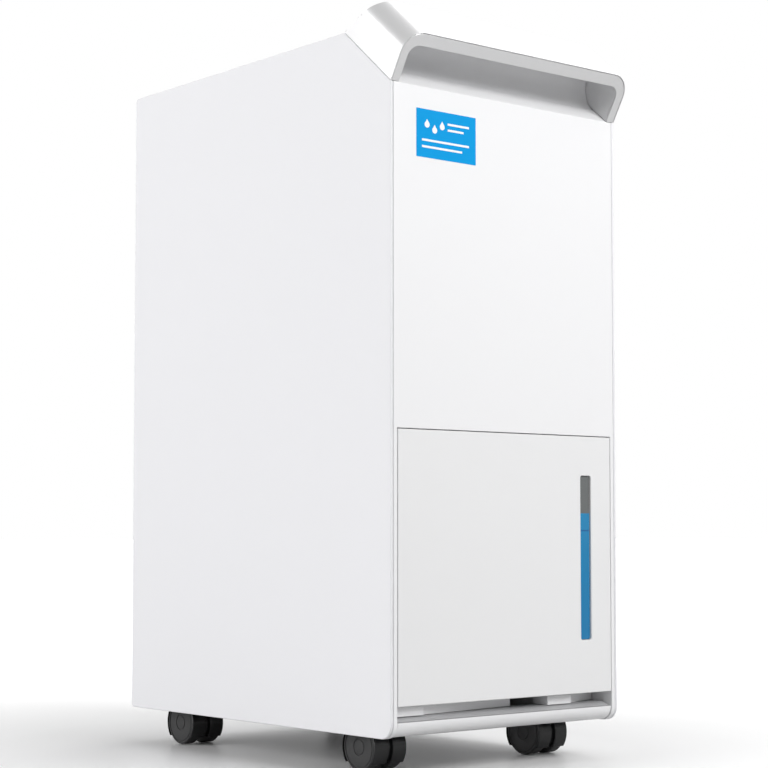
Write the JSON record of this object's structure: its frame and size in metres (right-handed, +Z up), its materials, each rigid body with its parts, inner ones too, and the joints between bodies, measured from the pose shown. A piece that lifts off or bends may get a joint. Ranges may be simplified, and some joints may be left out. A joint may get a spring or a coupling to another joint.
{
  "type": "dehumidifier",
  "caption": "Tall, narrow white portable dehumidifier with a hooded finger recess at the top front, a pull-out water bucket with a level window, and twin-wheel casters.",
  "frame": {"origin": "on the floor, under the middle of the bounding box", "axes": "+Z up; the front with the bucket and the hood faces -Y; +X is to the right when looking at the front"},
  "size_m": [0.236, 0.3678, 0.5753],
  "materials": {
    "white_front": "satin gloss white moulding",
    "side_white": "fine-textured cool white moulding",
    "inner_grey": "plain grey moulding",
    "caster_black": "black nylon",
    "wheel_grey": "dark grey nylon",
    "clear_blue": "clear tinted plastic",
    "panel_black": "gloss black",
    "steel": "turned steel",
    "black_steel": "black painted steel",
    "copper": "drawn copper pipe",
    "fin_aluminium": "aluminium fins",
    "tub_plastic": "milky moulding",
    "foam": "closed-cell foam",
    "net": "fine nylon net",
    "board_green": "coated laminate"
  },
  "bodies": {
    "root": {"left_panel": "side_white", "right_panel": "side_white", "front_frame": "white_front", "handle_hood": "white_front", "handle_pocket": "white_front", "top_cover": "white_front", "outlet_grille": "white_front", "rear_cover": "white_front", "base_pan": "side_white", "control_panel": "panel_black", "display_lens": "clear_blue", "control_board": "board_green", "bay_liner": "inner_grey", "mid_deck": "inner_grey", "drip_tray": "inner_grey", "evaporator_coil": "fin_aluminium", "condenser_coil": "fin_aluminium", "compressor": "black_steel", "accumulator": "black_steel", "discharge_pipe": "copper", "suction_pipe": "copper", "capillary_tube": "copper", "fan_scroll": "inner_grey", "fan_motor": "black_steel", "run_capacitor": "fin_aluminium", "float_switch": "caster_black", "cord_gland": "caster_black", "drain_spigot": "side_white"},
    "bucket": {"bucket_tub": "tub_plastic", "bucket_front": "white_front", "level_window": "clear_blue", "bucket_lid": "tub_plastic"},
    "bucket_bail": {"bucket_handle": "inner_grey"},
    "float": {"bucket_float": "foam"},
    "filter": {"filter_frame": "white_front", "filter_net": "net"},
    "fan": {"fan_wheel": "inner_grey", "fan_shaft": "steel"},
    "plug": {"drain_plug": "caster_black"},
    "power_button": {"power_button": "side_white"},
    "mode_button": {"mode_button": "side_white"},
    "down_button": {"down_button": "side_white"},
    "up_button": {"up_button": "side_white"},
    "timer_button": {"timer_button": "side_white"},
    "caster_front_left": {"caster_fender_front_left": "caster_black", "caster_axle_front_left": "steel"},
    "wheel_front_left_a": {"caster_wheel_front_left_a": "wheel_grey"},
    "wheel_front_left_b": {"caster_wheel_front_left_b": "wheel_grey"},
    "caster_front_right": {"caster_fender_front_right": "caster_black", "caster_axle_front_right": "steel"},
    "wheel_front_right_a": {"caster_wheel_front_right_a": "wheel_grey"},
    "wheel_front_right_b": {"caster_wheel_front_right_b": "wheel_grey"},
    "caster_rear_left": {"caster_fender_rear_left": "caster_black", "caster_axle_rear_left": "steel"},
    "wheel_rear_left_a": {"caster_wheel_rear_left_a": "wheel_grey"},
    "wheel_rear_left_b": {"caster_wheel_rear_left_b": "wheel_grey"},
    "caster_rear_right": {"caster_fender_rear_right": "caster_black", "caster_axle_rear_right": "steel"},
    "wheel_rear_right_a": {"caster_wheel_rear_right_a": "wheel_grey"},
    "wheel_rear_right_b": {"caster_wheel_rear_right_b": "wheel_grey"}
  },
  "joints": [
    {"name": "bucket_pull", "type": "slide", "parent": "root", "child": "bucket", "axis": [0, -1, 0], "range_m": [0, 0.2]},
    {"name": "bail_lift", "type": "hinge", "parent": "bucket", "child": "bucket_bail", "pos_m": [0, -0.07911, 0.2127], "axis": [1, 0, 0], "range_deg": [0, 90]},
    {"name": "float_lift", "type": "hinge", "parent": "bucket", "child": "float", "pos_m": [-0.07, -0.01211, 0.19], "axis": [-1, 0, 0], "range_deg": [0, 15]},
    {"name": "filter_pull", "type": "slide", "parent": "root", "child": "filter", "axis": [0, 1, 0], "range_m": [0, 0.08]},
    {"name": "fan_spin", "type": "hinge", "parent": "root", "child": "fan", "pos_m": [-0.008, 0.06089, 0.395], "axis": [0, 1, 0], "continuous": true},
    {"name": "plug_pull", "type": "slide", "parent": "root", "child": "plug", "axis": [0, 1, 0], "range_m": [0, 0.03]},
    {"name": "power_button_press", "type": "slide", "parent": "root", "child": "power_button", "axis": [0, 0, -1], "range_m": [0, 0.0015], "stiffness_N_per_m": 300},
    {"name": "mode_button_press", "type": "slide", "parent": "root", "child": "mode_button", "axis": [0, 0, -1], "range_m": [0, 0.0015], "stiffness_N_per_m": 300},
    {"name": "down_button_press", "type": "slide", "parent": "root", "child": "down_button", "axis": [0, 0, -1], "range_m": [0, 0.0015], "stiffness_N_per_m": 300},
    {"name": "up_button_press", "type": "slide", "parent": "root", "child": "up_button", "axis": [0, 0, -1], "range_m": [0, 0.0015], "stiffness_N_per_m": 300},
    {"name": "timer_button_press", "type": "slide", "parent": "root", "child": "timer_button", "axis": [0, 0, -1], "range_m": [0, 0.0015], "stiffness_N_per_m": 300},
    {"name": "swivel_front_left", "type": "hinge", "parent": "root", "child": "caster_front_left", "pos_m": [-0.085, -0.11011, 0.03], "axis": [0, 0, 1], "continuous": true},
    {"name": "roll_front_left_a", "type": "hinge", "parent": "caster_front_left", "child": "wheel_front_left_a", "pos_m": [-0.085, -0.10511, 0.018], "axis": [1, 0, 0], "continuous": true},
    {"name": "roll_front_left_b", "type": "hinge", "parent": "caster_front_left", "child": "wheel_front_left_b", "pos_m": [-0.085, -0.10511, 0.018], "axis": [1, 0, 0], "continuous": true},
    {"name": "swivel_front_right", "type": "hinge", "parent": "root", "child": "caster_front_right", "pos_m": [0.085, -0.11011, 0.03], "axis": [0, 0, 1], "continuous": true},
    {"name": "roll_front_right_a", "type": "hinge", "parent": "caster_front_right", "child": "wheel_front_right_a", "pos_m": [0.085, -0.10511, 0.018], "axis": [1, 0, 0], "continuous": true},
    {"name": "roll_front_right_b", "type": "hinge", "parent": "caster_front_right", "child": "wheel_front_right_b", "pos_m": [0.085, -0.10511, 0.018], "axis": [1, 0, 0], "continuous": true},
    {"name": "swivel_rear_left", "type": "hinge", "parent": "root", "child": "caster_rear_left", "pos_m": [-0.085, 0.12989, 0.03], "axis": [0, 0, 1], "continuous": true},
    {"name": "roll_rear_left_a", "type": "hinge", "parent": "caster_rear_left", "child": "wheel_rear_left_a", "pos_m": [-0.085, 0.13489, 0.018], "axis": [1, 0, 0], "continuous": true},
    {"name": "roll_rear_left_b", "type": "hinge", "parent": "caster_rear_left", "child": "wheel_rear_left_b", "pos_m": [-0.085, 0.13489, 0.018], "axis": [1, 0, 0], "continuous": true},
    {"name": "swivel_rear_right", "type": "hinge", "parent": "root", "child": "caster_rear_right", "pos_m": [0.085, 0.12989, 0.03], "axis": [0, 0, 1], "continuous": true},
    {"name": "roll_rear_right_a", "type": "hinge", "parent": "caster_rear_right", "child": "wheel_rear_right_a", "pos_m": [0.085, 0.13489, 0.018], "axis": [1, 0, 0], "continuous": true},
    {"name": "roll_rear_right_b", "type": "hinge", "parent": "caster_rear_right", "child": "wheel_rear_right_b", "pos_m": [0.085, 0.13489, 0.018], "axis": [1, 0, 0], "continuous": true}
  ]
}
